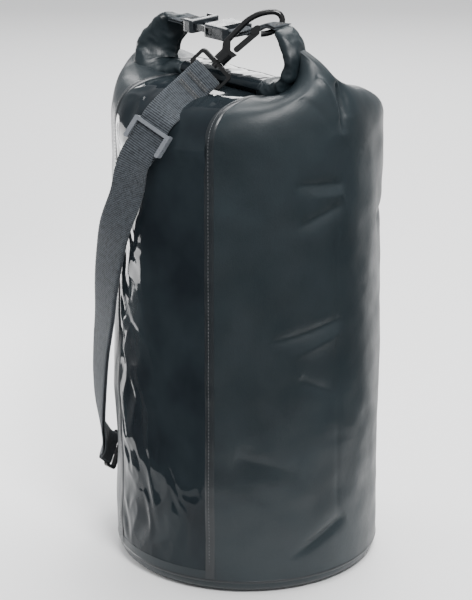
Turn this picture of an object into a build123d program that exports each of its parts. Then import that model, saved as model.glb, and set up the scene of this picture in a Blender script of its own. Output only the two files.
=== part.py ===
from build123d import *
import os
from math import atan2, cos, degrees, radians, sin

# Roll-top dry bag: a welded tarpaulin tube with a clear window, its mouth rolled down and
# buckled into a carrying loop, and a webbing shoulder strap with a snap hook at each end.
# Frame: origin at the centre of the base on the ground, +Z up, the rolled mouth along X,
# the window towards -Y. All sizes in millimetres.

# ---- bag ----
bag_radius = 126.0
base_radius = bag_radius - 7.0
base_round = 14.0          # height of the rounding round the bottom edge
base_sagitta = 2.5
side_height = 426.0        # straight wall, up to the shoulder
shoulder_rise = 36.0       # from the top of the straight wall to the ridge under the roll
wall = 1.2
base_thickness = 1.6
binding_lift = 1.0
binding_height = 8.0
tape_thickness = 0.7
tape_width = 8.0
window_half = 57.5
window_centre = 5.5           # the window sits a little to one side of the front
window_sill = 18.0         # height of the window's lower edge
skin_gap = 0.12            # between two skins that lie on each other

# ---- rolled mouth ----
roll_y = -20.0
roll_width = 38.0          # across the folded layers
roll_thickness = 14.0
column_x = 70.0            # where the ends of the roll stand up
column_bend = 16.0
left_column_top = side_height + 89.0
right_column_top = side_height + 105.0
stiffener_width = 25.0
stiffener_thickness = 1.6
stiffener_gap = 0.5
stiffener_margin = 8.0     # closed end of the roll beyond the stiffener
ridge_half_length = bag_radius - 26.0
ridge_half_width = 13.0
left_ear_top = side_height + 52.0
right_ear_top = side_height + 80.0

# ---- webbing ----
tab_width = 25.0
tab_thickness = 2.2        # two layers sewn together
tab_root = 20.0            # sewn length on the inner face of a column
tab_gap = 0.1
strap_width = 30.0
strap_thickness = 1.5
layer_gap = 0.4
hanging_gap = 1.0          # between the two layers of the free run
bar_clearance = 0.25
turn_rounding = 0.4         # inner corners of the webbing round a bar
stitch_height = 0.5
stitch_width = 1.4
stitch_inset = 2.0
tail_length = 28.0
bunch_width = 7.6          # where the upper hook gathers the tab
bunch_thickness = 5.5

# ---- buckle ----
buckle_z = side_height + 87.0
buckle_width = 36.0
buckle_height = 12.0
socket_left = -20.0
socket_length = 30.0
socket_wall = 2.2
block_length = 14.0        # the plug's outer block
bare_arm = 14.0            # arms between the block and the socket's mouth
arm_inside = 14.0          # arms inside the socket
end_bar = 4.0
end_bar_height = 4.6
end_slot = 5.6
arm_width = 3.2
arm_height = 5.6
arm_inset = 1.6            # arm's outer face from the socket's inner wall
barb_out = 1.3             # barb beyond the socket's inner wall
barb_window = 8.6
rim = 3.6                  # solid rim between the mouth and a side window
knuckle_radius = 1.6
tongue_width = 8.0
fit_gap = 0.35

# ---- snap hooks ----
hook_rod = 5.4
hook_plate = 7.0
eye_width = strap_width + 8.0
eye_thickness = 4.0
eye_top = -13.0            # along the hook, from the collar
eye_bottom = -33.0
eye_slot_top = -17.5
eye_slot_bottom = -27.0
collar_radius = 6.2
pin_radius = 2.2
pin_head_radius = 2.8
pin_head = 2.0
running_gap = 0.1
gate_width = 5.4
gate_gap = 0.3
hinge_point = (3.2, 6.0)
fork_outline = (
    (-10.0, 1.5),
    (-5.5, -4.0),
    (5.5, -4.0),
    (7.2, 1.5),
    (7.2, 3.0),
    (0.0, 1.5),
    (-5.6, 7.0),
    (-10.8, 7.0),
)
stem_foot = (-8.2, 4.0)
stem_top = (-9.0, 26.0)
bow_crown = (1.5, 53.2)
bow_shoulder = (15.0, 47.0)
bow_nose = (8.0, 31.2)
gate_tip = (4.5, 29.5)
pad_centre = (2.0, 30.5)
pad_half_width = 3.0
pad_half_length = 5.0
pad_height = 3.0
pad_sink = 1.0
neck_top = -2.0              # collar's top, along the hook
hook_axis = Vector(0.386, 0.638, 0.666)
hook_face = Vector(0.698, -0.674, 0.242)
hook_hold = (6.6, 40.5)    # where the carrying loop crosses the hook, across and along it
hold_x = 46.0
hold_z = side_height + 99.5

# ---- lower fixing ----
lower_azimuth = 196.0
lower_radius = bag_radius + 15.0
lower_z = 58.0
lower_slant = 35.0         # of the lower hook below the horizontal
ring_wire = 4.0
ring_half = 14.0
ring_reach = 20.0
ring_hold = (4.0, 43.5)    # where the ring crosses the lower hook
patch_width = 44.0
patch_height = 34.0

# ---- slider on the strap ----
slider_azimuth = 275.86
slider_stand_off = 11.2
slider_rise = 13.0            # above the top of the straight wall
slider_along = Vector(-0.285, -0.45, -0.846).normalized()
slider_side = Vector(0.83, 0.2, -0.53)
slider_width = strap_width + 9.0
slider_length = 22.0
slider_bar = 3.4
slider_bar_height = 2.3
slider_straight = 19.0     # straight strap each side of the slider's centre

os.makedirs("parts", exist_ok=True)


def finish(part, name):
    """Label a piece and write its STEP file."""
    part.label = name
    export_step(part, "parts/" + name + ".step")


# ================= welded skins =================
def tube(grow):
    """The solid inside the bag's skin, with its surface moved outwards by grow."""
    floor = max(-grow, 0.0)
    top = side_height + shoulder_rise
    rings = [
        (side_height, bag_radius, bag_radius, 0.0, 0.0),
        (side_height + 0.45 * shoulder_rise, bag_radius - 2, bag_radius - 3, 0.0, 0.5),
        (side_height + 0.68 * shoulder_rise, bag_radius - 9, bag_radius - 20, 0.0, 1.0),
        (side_height + 0.86 * shoulder_rise, ridge_half_length + 8, 66.0, -4.0, 1.0),
        (top, ridge_half_length, ridge_half_width, roll_y + 4, 1.0),
    ]
    with BuildPart() as body:
        with BuildSketch(Plane.XZ):
            with BuildLine():
                Line((0, side_height), (0, floor))
                Line((0, floor), (base_radius + grow, floor))
                SagittaArc((base_radius + grow, floor), (bag_radius + grow, base_round), -base_sagitta)
                Line((bag_radius + grow, base_round), (bag_radius + grow, side_height))
                Line((bag_radius + grow, side_height), (0, side_height))
            make_face()
        revolve(axis=Axis.Z)
        for height, half_x, half_y, shift, lift in rings:
            with BuildSketch(Plane.XY.offset(height + lift * grow)):
                with Locations((0, shift)):
                    Ellipse(half_x + grow, half_y + grow)
        loft(ruled=True)
    return body.part


def upright_block(x_size, y_size, x, y, bottom, height):
    """An upright block used to cut a strip out of a skin."""
    with BuildPart() as block:
        with BuildSketch(Plane.XY.offset(bottom)):
            with Locations((x, y)):
                Rectangle(x_size, y_size)
        extrude(amount=height)
    return block.part


def front_strip(x, width, bottom):
    """The block over the bag's front, from a height up to the ridge."""
    depth = 2 * bag_radius
    return upright_block(width, depth, x, roll_y - depth / 2, bottom, side_height + shoulder_rise)


def ear(direction, top):
    """The folded gather of tarpaulin beside one end of the roll."""
    foot = side_height + 0.7 * shoulder_rise
    inner_face = column_x + roll_thickness / 2
    rings = [
        (foot, inner_face + 14, 30.0, 46.0, -8.0),
        (foot + 0.5 * (top - foot), inner_face + 21, 20.0, 20.0, -20.0),
        (top, inner_face + 15, 12.0, 6.0, -26.0),
    ]
    with BuildPart() as gather:
        for height, x, half_x, half_y, y in rings:
            with BuildSketch(Plane.XY.offset(height)):
                with Locations((direction * x, y)):
                    Ellipse(half_x, half_y)
        loft(ruled=True)
    return gather.part


outer_solid = tube(0.0)
inner_solid = tube(-wall)
tape_outer = tube(skin_gap + tape_thickness)
tape_inner = tube(skin_gap)

with BuildPart() as body_panel:
    add(outer_solid)
    add(inner_solid, mode=Mode.SUBTRACT)
    add(front_strip(window_centre, 2 * window_half, window_sill), mode=Mode.SUBTRACT)
    with BuildSketch(Plane.XY):
        Circle(base_radius - wall)
    extrude(amount=base_round / 2, mode=Mode.SUBTRACT)
finish(body_panel.part, "body_panel")

for direction, side, top in ((-1, "left", left_ear_top), (1, "right", right_ear_top)):
    with BuildPart() as end_fold:
        add(ear(direction, top))
        add(tape_outer, mode=Mode.SUBTRACT)
    finish(end_fold.part, "end_fold_" + side)

with BuildPart() as window_panel:
    add(outer_solid)
    add(inner_solid, mode=Mode.SUBTRACT)
    add(front_strip(window_centre, 2 * (window_half - skin_gap), window_sill + skin_gap), mode=Mode.INTERSECT)
finish(window_panel.part, "window_panel")

for direction, side in ((-1, "left"), (1, "right")):
    with BuildPart() as seam_tape:
        add(tape_outer)
        add(tape_inner, mode=Mode.SUBTRACT)
        add(front_strip(window_centre + direction * window_half, tape_width, window_sill), mode=Mode.INTERSECT)
    finish(seam_tape.part, "seam_tape_" + side)

with BuildPart() as base_panel:
    with BuildSketch(Plane.XY):
        Circle(base_radius - wall - skin_gap)
    extrude(amount=base_thickness)
finish(base_panel.part, "base_panel")

with BuildPart() as base_binding:
    add(tape_outer)
    add(tape_inner, mode=Mode.SUBTRACT)
    add(
        upright_block(3 * bag_radius, 3 * bag_radius, 0, 0, binding_lift, binding_height),
        mode=Mode.INTERSECT,
    )
finish(base_binding.part, "base_binding")

# ================= rolled mouth =================
roll_z = side_height + shoulder_rise + 2 * skin_gap + tape_thickness + roll_thickness / 2
mouth_plane = Plane(origin=(0, roll_y, 0), x_dir=(1, 0, 0), z_dir=(0, -1, 0))


def along_mouth(width, thickness, margin, rounding):
    """A section swept up one end of the roll, along the mouth and up the other end."""
    start = (-column_x, left_column_top - margin)
    end_plane = Plane(origin=mouth_plane.from_local_coords(start), x_dir=(0, 1, 0), z_dir=(0, 0, -1))
    with BuildPart() as band:
        with BuildLine(mouth_plane) as path:
            FilletPolyline(
                start,
                (-column_x, roll_z),
                (column_x, roll_z),
                (column_x, right_column_top - margin),
                radius=column_bend,
            )
        with BuildSketch(end_plane):
            RectangleRounded(width, thickness, rounding)
        sweep(path=path.line)
    return band.part


with BuildPart() as collar_roll:
    add(along_mouth(roll_width, roll_thickness, 0.0, 0.42 * roll_thickness))
    add(
        along_mouth(
            stiffener_width + 2 * stiffener_gap,
            stiffener_thickness + 2 * stiffener_gap,
            stiffener_margin - stiffener_gap,
            stiffener_gap,
        ),
        mode=Mode.SUBTRACT,
    )
finish(collar_roll.part, "collar_roll")

with BuildPart() as mouth_stiffener:
    add(along_mouth(stiffener_width, stiffener_thickness, stiffener_margin, stiffener_gap))
finish(mouth_stiffener.part, "mouth_stiffener")

# ================= buckle =================
socket_right = socket_left + socket_length
block_right = socket_left - bare_arm
block_left = block_right - block_length
knuckle_x = block_right - knuckle_radius
cavity_width = buckle_width - 2 * socket_wall
cavity_height = arm_height + 2 * fit_gap
cavity_depth = arm_inside + 2.0
arm_outer = cavity_width / 2 - arm_inset
arm_inner = arm_outer - arm_width
arm_tip = socket_left + arm_inside
window_left = socket_left + rim
buckle_plane = Plane.XY.offset(buckle_z)
bar_mid_left = block_left + end_bar / 2
bar_mid_right = socket_right - end_bar / 2


def buckle_block(left, right):
    """A rounded plastic block of the buckle between two X values."""
    with BuildPart() as block:
        with BuildSketch(buckle_plane):
            with Locations(((left + right) / 2, roll_y)):
                RectangleRounded(right - left, buckle_width, 4.0)
        extrude(amount=buckle_height / 2, both=True)
        fillet(block.edges().group_by(Axis.Z)[-1], 1.4)
        fillet(block.edges().group_by(Axis.Z)[0], 1.4)
    return block.part


def middle_box(left, right, width, height, lift=0.0):
    """A box on the buckle's middle line between two X values, raised by lift."""
    with BuildPart() as box:
        with BuildSketch(buckle_plane.offset(lift)):
            with Locations(((left + right) / 2, roll_y)):
                Rectangle(right - left, width)
        extrude(amount=height / 2, both=True)
    return box.part


def webbing_cuts(slot_left, slot_right, bar_left, bar_right):
    """The webbing's slot, and what is taken off the end bar that the webbing goes round."""
    opening = tab_width + 2.0
    lift = (end_bar_height + buckle_height) / 2
    return [
        middle_box(slot_left, slot_right, opening, 2 * buckle_height),
        middle_box(bar_left, bar_right, opening, buckle_height, lift),
        middle_box(bar_left, bar_right, opening, buckle_height, -lift),
    ]


with BuildPart() as buckle_socket:
    add(buckle_block(socket_left, socket_right))
    add(
        middle_box(socket_left - 1.0, socket_left + cavity_depth, cavity_width, cavity_height),
        mode=Mode.SUBTRACT,
    )
    add(
        middle_box(window_left, window_left + barb_window, 2 * buckle_width, cavity_height),
        mode=Mode.SUBTRACT,
    )
    slot_right = socket_right - end_bar
    add(webbing_cuts(slot_right - end_slot, slot_right, slot_right, socket_right + 1.0), mode=Mode.SUBTRACT)
finish(buckle_socket.part, "buckle_socket")

with BuildPart() as buckle_plug:
    add(buckle_block(block_left, block_right))
    slot_left = block_left + end_bar
    add(webbing_cuts(slot_left, slot_left + end_slot, block_left - 1.0, slot_left), mode=Mode.SUBTRACT)
    for direction in (-1, 1):
        with BuildSketch(buckle_plane):
            with Locations((block_right, roll_y + direction * (arm_inner + arm_outer) / 2)):
                Rectangle(4 * knuckle_radius + 2 * fit_gap, arm_width + 2 * knuckle_radius)
        extrude(amount=cavity_height / 2, both=True, mode=Mode.SUBTRACT)
    with BuildSketch(buckle_plane):
        with Locations(((block_right + socket_left) / 2, roll_y)):
            Rectangle(bare_arm + 3.0, tongue_width)
    extrude(amount=arm_height / 2, both=True)
finish(buckle_plug.part, "buckle_plug")

for direction, side in ((-1, "front"), (1, "back")):
    with BuildPart() as prong:
        with BuildSketch(buckle_plane):
            with BuildLine():
                middle = roll_y + direction * (arm_inner + arm_outer) / 2
                inner = roll_y + direction * arm_inner
                outer = roll_y + direction * arm_outer
                crest = roll_y + direction * (cavity_width / 2 + barb_out)
                Polyline(
                    (knuckle_x, inner),
                    (arm_tip, inner),
                    (arm_tip, middle),
                    (window_left + barb_window - 1.6, crest),
                    (window_left + 3.8, crest),
                    (socket_left - 0.6, outer),
                    (knuckle_x, outer),
                    close=True,
                )
            make_face()
            with Locations((knuckle_x, middle)):
                Circle(knuckle_radius)
        extrude(amount=arm_height / 2, both=True)
    finish(prong.part, "prong_" + side)

# ================= carrying-loop webbing =================
loop_half_x = end_bar / 2 + bar_clearance
loop_half_z = end_bar_height / 2 + bar_clearance
root_face = column_x - roll_thickness / 2 - tab_gap


def bar_loop(x):
    """The turn of webbing round an end bar of the buckle, as a ring in the XZ plane."""
    with BuildPart() as ring:
        with BuildSketch(Plane.XZ.offset(-roll_y)):
            with Locations((x, buckle_z)):
                RectangleRounded(2 * (loop_half_x + strap_thickness), 2 * (loop_half_z + strap_thickness), 2.5)
                RectangleRounded(2 * loop_half_x, 2 * loop_half_z, turn_rounding, mode=Mode.SUBTRACT)
        extrude(amount=tab_width / 2, both=True)
    return ring.part


def flat_tab(left, right, bottom, top):
    """A flat piece of tab between two X values and two heights, as wide as the webbing."""
    with BuildPart() as flat:
        with BuildSketch(Plane.XZ.offset(-roll_y)):
            with Locations(((left + right) / 2, (bottom + top) / 2)):
                Rectangle(right - left, top - bottom)
        extrude(amount=tab_width / 2, both=True)
    return flat.part


root_top_left = buckle_z + tab_thickness / 2
with BuildPart() as tab_left:
    add(bar_loop(bar_mid_left))
    add(
        flat_tab(
            -root_face,
            bar_mid_left - loop_half_x - strap_thickness / 2,
            buckle_z - tab_thickness / 2,
            root_top_left,
        )
    )
    add(flat_tab(-root_face, tab_thickness - root_face, root_top_left - tab_root, root_top_left))
finish(tab_left.part, "tab_left")

tab_start = bar_mid_right + loop_half_x + strap_thickness / 2
root_x = root_face - tab_thickness / 2
tab_end_z = right_column_top - 2.5
tab_sections = [
    (tab_start, buckle_z, tab_width, tab_thickness),
    (tab_start + 8, buckle_z + 0.8, tab_width - 1, tab_thickness),
    (hold_x - 19, buckle_z + 0.35 * (hold_z - buckle_z), 12.5, 3.6),
    (hold_x - 10, buckle_z + 0.68 * (hold_z - buckle_z), bunch_width, bunch_thickness),
    (hold_x, hold_z, bunch_width, bunch_thickness),
    (hold_x + 9, hold_z + 1.4, bunch_width - 1, bunch_thickness - 1),
    (root_x, tab_end_z, tab_width - 4, tab_thickness),
]
root_top_right = tab_end_z + tab_thickness / 2
with BuildPart() as tab_right:
    add(bar_loop(bar_mid_right))
    add(flat_tab(root_face - tab_thickness, root_face, root_top_right - tab_root, root_top_right))
    for x, z, width, thickness in tab_sections:
        with BuildSketch(Plane(origin=(x, roll_y, z), x_dir=(0, 1, 0), z_dir=(1, 0, 0))):
            RectangleRounded(width, thickness, 0.45 * tab_thickness)
    loft(ruled=True)
finish(tab_right.part, "tab_right")

# ================= snap hooks =================
hold_point = Vector(hold_x, roll_y, hold_z)
hook_across = hook_axis.cross(hook_face).normalized()
upper_collar = hold_point - hook_across * hook_hold[0] - hook_axis * hook_hold[1]
upper_plane = Plane(origin=upper_collar, x_dir=hook_across, z_dir=hook_face)

azimuth = radians(lower_azimuth)
radial = Vector(cos(azimuth), sin(azimuth), 0)
tangent = Vector(sin(azimuth), -cos(azimuth), 0)
lower_axis = tangent * cos(radians(lower_slant)) - Vector(0, 0, 1) * sin(radians(lower_slant))
lower_collar = radial * lower_radius + Vector(0, 0, lower_z)
lower_across = lower_axis.cross(radial)
lower_eye_plane = Plane(origin=lower_collar, x_dir=lower_across, z_dir=radial)
lower_hook_plane = Plane(origin=lower_collar, x_dir=radial, z_dir=lower_across * -1)


def square_to(plane, along):
    """A plane square to a hook's length, at a distance along it from the collar."""
    origin = plane.from_local_coords(Vector(0, along, 0))
    return Plane(origin=origin, x_dir=plane.x_dir, z_dir=plane.y_dir)


def hook_eye(plane, name):
    """The flat frame that the strap is threaded on."""
    with BuildPart() as eye:
        with BuildSketch(plane):
            with Locations((0, (eye_top + eye_bottom) / 2)):
                RectangleRounded(eye_width, eye_top - eye_bottom, 4.5)
            with Locations((0, (eye_slot_top + eye_slot_bottom) / 2)):
                RectangleRounded(strap_width + 1.6, eye_slot_top - eye_slot_bottom, 1.5, mode=Mode.SUBTRACT)
        extrude(amount=eye_thickness / 2, both=True)
        fillet(eye.faces().filter_by(plane).sort_by(Axis(plane.origin, plane.z_dir))[-1].outer_wire().edges(), 1.0)
        with BuildSketch(square_to(plane, eye_slot_top - 1.0)):
            Circle(pin_radius + running_gap)
        extrude(amount=eye_top - eye_slot_top + 2.0, mode=Mode.SUBTRACT)
    finish(eye.part, name)


def hook_pin(plane, name):
    """The headed rivet that the hook turns on: head in the eye's slot, shank in the hook."""
    with BuildPart() as pin:
        with BuildSketch(square_to(plane, eye_slot_top - pin_head - running_gap)):
            Circle(pin_head_radius)
        extrude(amount=pin_head)
        with BuildSketch(square_to(plane, eye_slot_top - pin_head)):
            Circle(pin_radius)
        extrude(amount=pin_head - eye_slot_top - 4.0)
    finish(pin.part, name)


def hook_body(plane, name):
    """The collar, the stem and the round bow that ends in a nose."""
    foot = eye_top + gate_gap
    with BuildPart() as hook:
        with BuildSketch(square_to(plane, foot)):
            Circle(collar_radius)
        extrude(amount=neck_top - foot)
        with BuildSketch(plane):
            with BuildLine():
                Polyline(*fork_outline, close=True)
            make_face()
        extrude(amount=hook_plate / 2, both=True)
        with BuildLine(plane) as bow:
            stem = Line(stem_foot, stem_top)
            back = TangentArc(stem_top, bow_crown, tangent=stem % 1)
            crown = TangentArc(bow_crown, bow_shoulder, tangent=back % 1)
            TangentArc(bow_shoulder, bow_nose, tangent=crown % 1)
        with BuildSketch(Plane(origin=bow.line @ 0, z_dir=bow.line % 0)):
            Circle(hook_rod / 2)
        sweep(path=bow.line)
        with BuildSketch(square_to(plane, foot - 1.0)):
            Circle(pin_radius)
        extrude(amount=-foot - 3.0, mode=Mode.SUBTRACT)
        with BuildSketch(plane):
            with Locations(hinge_point):
                Circle(gate_width / 2 + gate_gap)
        extrude(amount=hook_plate, both=True, mode=Mode.SUBTRACT)
    finish(hook.part, name)


def hook_gate(plane, name):
    """The sprung gate with its thumb pad, hinged in the stem's foot."""
    gate_run = gate_tip[1] - hinge_point[1]
    gate_lean = degrees(atan2(gate_tip[0] - hinge_point[0], gate_run))
    with BuildPart() as gate:
        with BuildSketch(plane):
            with Locations(((hinge_point[0] + gate_tip[0]) / 2, (hinge_point[1] + gate_tip[1]) / 2)):
                SlotCenterToCenter(gate_run, gate_width, rotation=90 - gate_lean)
        extrude(amount=gate_width / 2, both=True)
        with BuildSketch(plane.offset(gate_width / 2 - pad_sink)):
            with Locations(pad_centre):
                Ellipse(pad_half_width, pad_half_length)
        extrude(amount=pad_height)
    finish(gate.part, name)


for prefix, eye_plane, body_plane in (
    ("upper", upper_plane, upper_plane),
    ("lower", lower_eye_plane, lower_hook_plane),
):
    hook_eye(eye_plane, prefix + "_hook_eye")
    hook_pin(eye_plane, prefix + "_hook_pin")
    hook_body(body_plane, prefix + "_hook_body")
    hook_gate(body_plane, prefix + "_hook_gate")

# ================= D-ring =================
ring_point = lower_hook_plane.from_local_coords(Vector(ring_hold[0], ring_hold[1], 0))
seat_azimuth = azimuth - (ring_hold[1] + ring_reach - 3.0) * cos(radians(lower_slant)) / bag_radius
seat_radial = Vector(cos(seat_azimuth), sin(seat_azimuth), 0)
seat_radius = bag_radius + skin_gap + tape_thickness + layer_gap + strap_thickness + bar_clearance + ring_wire / 2
seat_z = ring_point.Z - 0.45 * ring_reach
ring_seat = seat_radial * (seat_radius + 0.6) + Vector(0, 0, seat_z)
ring_up = (ring_point - ring_seat).normalized()
ring_length = (ring_point - ring_seat).length
ring_bar = ring_up.cross(seat_radial).normalized()
ring_plane = Plane(origin=ring_seat, x_dir=ring_bar, z_dir=ring_bar.cross(ring_up))

with BuildPart() as d_ring:
    with BuildLine(ring_plane) as ring_path:
        FilletPolyline(
            (-ring_half, 0),
            (ring_half, 0),
            (ring_half, 0.45 * ring_length),
            (0.5 * ring_half, ring_length),
            (-0.5 * ring_half, ring_length),
            (-ring_half, 0.45 * ring_length),
            radius=4.0,
            close=True,
        )
    start = ring_path.line @ 0
    with BuildSketch(Plane(origin=start, z_dir=ring_path.line % 0)):
        Circle(ring_wire / 2)
    sweep(path=ring_path.line)
finish(d_ring.part, "d_ring")

with BuildPart() as d_ring_patch:
    add(tape_outer)
    add(tape_inner, mode=Mode.SUBTRACT)
    add(
        upright_block(bag_radius, patch_width, -bag_radius, ring_seat.Y, base_round, patch_height),
        mode=Mode.INTERSECT,
    )
finish(d_ring_patch.part, "d_ring_patch")

seat_plane = Plane(origin=ring_seat, x_dir=ring_bar.cross(seat_radial), z_dir=ring_bar)
with BuildPart() as d_ring_webbing:
    loop_radius = ring_wire / 2 + bar_clearance
    with BuildSketch(seat_plane):
        Circle(loop_radius + strap_thickness)
        with Locations((8.0, -loop_radius - strap_thickness / 2)):
            Rectangle(16.0, strap_thickness)
        Circle(loop_radius, mode=Mode.SUBTRACT)
    extrude(amount=ring_half - ring_wire, both=True)
finish(d_ring_webbing.part, "d_ring_webbing")

# ================= slider =================
slider_radius = bag_radius + slider_stand_off
slider_centre = Vector(
    slider_radius * cos(radians(slider_azimuth)),
    slider_radius * sin(radians(slider_azimuth)),
    side_height + slider_rise,
)
slider_face = slider_along.cross(slider_side).normalized()
slider_across = slider_face.cross(slider_along).normalized()
slider_plane = Plane(origin=slider_centre, x_dir=slider_across, z_dir=slider_face)
strap_half = strap_thickness / 2
under_top = -strap_half - layer_gap                  # top of the return layer
under_mid = under_top - strap_half
bar_top = under_top - strap_thickness - bar_clearance
bar_bottom = bar_top - slider_bar_height
over_bottom = strap_half + layer_gap
rail_inner = strap_width / 2 + 0.5
rail_width = slider_width / 2 - rail_inner

with BuildPart() as slider:
    for direction in (-1, 1):
        with BuildSketch(slider_plane.offset(bar_bottom)):
            with Locations((direction * (rail_inner + rail_width / 2), 0)):
                RectangleRounded(rail_width, slider_length, 1.6)
        extrude(amount=over_bottom + slider_bar_height - bar_bottom)
    for y, level in (
        ((slider_length - slider_bar) / 2, over_bottom),
        (0.0, bar_bottom),
        (-(slider_length - slider_bar) / 2, bar_bottom),
    ):
        with BuildSketch(slider_plane.offset(level)):
            with Locations((0, y)):
                Rectangle(slider_width - rail_width, slider_bar)
        extrude(amount=slider_bar_height)
finish(slider.part, "slider")

loop_half_y = slider_bar / 2 + bar_clearance
loop_half_h = slider_bar_height / 2 + bar_clearance
bar_level = (bar_top + bar_bottom) / 2
with BuildPart() as slider_loop:
    side_plane = Plane(
        origin=slider_plane.from_local_coords(Vector(0, 0, bar_level)),
        x_dir=slider_plane.y_dir,
        z_dir=slider_plane.x_dir,
    )
    with BuildSketch(side_plane):
        RectangleRounded(2 * (loop_half_y + strap_thickness), 2 * (loop_half_h + strap_thickness), 2.0)
        RectangleRounded(2 * loop_half_y, 2 * loop_half_h, turn_rounding, mode=Mode.SUBTRACT)
    extrude(amount=strap_width / 2, both=True)
finish(slider_loop.part, "slider_loop")

# ================= shoulder strap =================
upper_bar = upper_plane.from_local_coords(Vector(0, (eye_slot_bottom + eye_bottom) / 2, 0))
lower_bar = lower_eye_plane.from_local_coords(Vector(0, (eye_slot_bottom + eye_bottom) / 2, 0))
eye_half = (eye_slot_bottom - eye_bottom) / 2 + bar_clearance
eye_rise = eye_thickness / 2 + bar_clearance
straight_top = slider_centre - slider_along * slider_straight
straight_end = slider_centre + slider_along * slider_straight

# The free run below the slider. Each point has its azimuth, its distance from the bag's wall,
# its height as a share of the way from the lower hook to the shoulder, and the way its face looks.
lower_route = [
    (266.0, 16.4, 0.875, 311.0),
    (257.8, 16.2, 0.780, 296.0),
    (249.9, 13.5, 0.688, 281.0),
    (244.0, 13.1, 0.595, 270.0),
    (239.2, 12.6, 0.508, 262.0),
    (232.8, 14.6, 0.399, 254.0),
    (228.7, 16.4, 0.291, 249.0),
    (223.9, 16.9, 0.190, 240.0),
    (217.3, 16.0, 0.109, 225.0),
]


def level_way(angle):
    """The level direction at an azimuth in degrees."""
    return Vector(cos(radians(angle)), sin(radians(angle)), 0)


def stations(points, faces):
    """Section planes along a run: square to it, with the webbing's face turned as asked."""
    planes = []
    last = len(points) - 1
    for index, (point, face) in enumerate(zip(points, faces)):
        along = (points[min(index + 1, last)] - points[max(index - 1, 0)]).normalized()
        across = along.cross(face).normalized()
        planes.append(Plane(origin=point, x_dir=across, z_dir=along))
    return planes


def ribbon(planes, shifts):
    """Webbing lofted through section planes, each moved back from its face by a shift."""
    with BuildPart() as web:
        for plane, shift in zip(planes, shifts):
            with BuildSketch(plane):
                with Locations((0, shift)):
                    Rectangle(strap_width, strap_thickness)
        loft(ruled=True)
    return web.part


def eye_loop(plane):
    """The turn of strap round the bar of a hook's eye."""
    bar = Plane(
        origin=plane.from_local_coords(Vector(0, (eye_slot_bottom + eye_bottom) / 2, 0)),
        x_dir=plane.y_dir,
        z_dir=plane.x_dir,
    )
    with BuildPart() as turn:
        with BuildSketch(bar):
            RectangleRounded(2 * (eye_half + strap_thickness), 2 * (eye_rise + strap_thickness), 3.0)
            RectangleRounded(2 * eye_half, 2 * eye_rise, turn_rounding, mode=Mode.SUBTRACT)
        extrude(amount=strap_width / 2, both=True)
    return turn.part


to_slider = straight_top - upper_bar
run_in = (to_slider - hook_across * to_slider.dot(hook_across)).normalized()
run_face = run_in.cross(hook_across)
tail_end = upper_bar + run_in * tail_length


def run_plane(reach):
    """A section of the straight run next to the upper eye, at a distance from its bar."""
    return Plane(origin=upper_bar + run_in * reach, x_dir=run_in.cross(run_face), z_dir=run_in)


def slider_section(reach):
    """A section of the straight run through the slider, at a distance from its centre."""
    return Plane(
        origin=slider_centre + slider_along * reach,
        x_dir=slider_along.cross(slider_face),
        z_dir=slider_along,
    )


middle_point = tail_end * 0.45 + straight_top * 0.55 - slider_along * 2
middle_planes = stations([tail_end, middle_point, straight_top], [run_face, run_face + slider_face, slider_face])
end_point = lower_bar - lower_axis * (eye_half + strap_half)
lower_points = [straight_end]
lower_faces = [slider_face]
for place, stand_off, share, face in lower_route:
    height = Vector(0, 0, lower_z + share * (side_height - lower_z))
    lower_points.append(level_way(place) * (bag_radius + stand_off) + height)
    lower_faces.append(level_way(face))
lower_points.append(end_point)
lower_faces.append(radial)
lower_planes = stations(lower_points, lower_faces)[1:-1]
end_across = lower_across if lower_planes[-1].x_dir.dot(lower_across) > 0 else lower_across * -1
main_planes = [
    run_plane(eye_half + strap_half),
    run_plane(0.6 * tail_length),
    run_plane(tail_length),
    middle_planes[1],
    slider_section(-slider_straight),
    slider_section(-slider_straight / 3),
    slider_section(slider_straight / 3),
    slider_section(slider_straight),
]
main_planes += lower_planes
main_planes += [Plane(origin=end_point, x_dir=end_across, z_dir=lower_axis)]

with BuildPart() as strap_main:
    add(ribbon(main_planes, [0.0] * len(main_planes)))
    add(eye_loop(upper_plane))
    add(eye_loop(lower_eye_plane))
finish(strap_main.part, "strap_main")

return_end = lower_bar - lower_axis * (eye_half + strap_thickness + 1.6)
layer_pitch = strap_thickness + layer_gap
hanging_pitch = strap_thickness + hanging_gap
return_start = loop_half_y + strap_thickness + tab_gap
return_planes = [
    slider_section(return_start),
    slider_section((return_start + slider_straight) / 2),
    slider_section(slider_straight),
]
return_shifts = [layer_pitch] * len(return_planes) + [hanging_pitch] * (len(lower_planes) + 1)
return_planes += lower_planes
return_planes += [Plane(origin=return_end, x_dir=end_across, z_dir=lower_axis)]
with BuildPart() as strap_return:
    add(ribbon(return_planes, return_shifts))
finish(strap_return.part, "strap_return")

with BuildPart() as strap_tail:
    tail_planes = [run_plane(eye_half + strap_thickness + 1.6), run_plane(tail_length - 1.0)]
    add(ribbon(tail_planes, [layer_pitch, layer_pitch]))
finish(strap_tail.part, "strap_tail")


def bartack(plane, length):
    """A bar of stitching, raised off the webbing's face in a plane whose z leaves the face."""
    with BuildPart() as bar:
        with BuildSketch(plane):
            RectangleRounded(length, stitch_width, stitch_width / 3)
        extrude(amount=stitch_height)
    return bar.part


with BuildPart() as strap_bartacks:
    for reach in (10.0, 12.6):
        point = upper_bar + run_in * reach
        seat = Plane(origin=point + run_face * (strap_half + skin_gap), x_dir=hook_across, z_dir=run_face)
        add(bartack(seat, strap_width - 2 * stitch_inset))
finish(strap_bartacks.part, "strap_bartacks")

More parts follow.
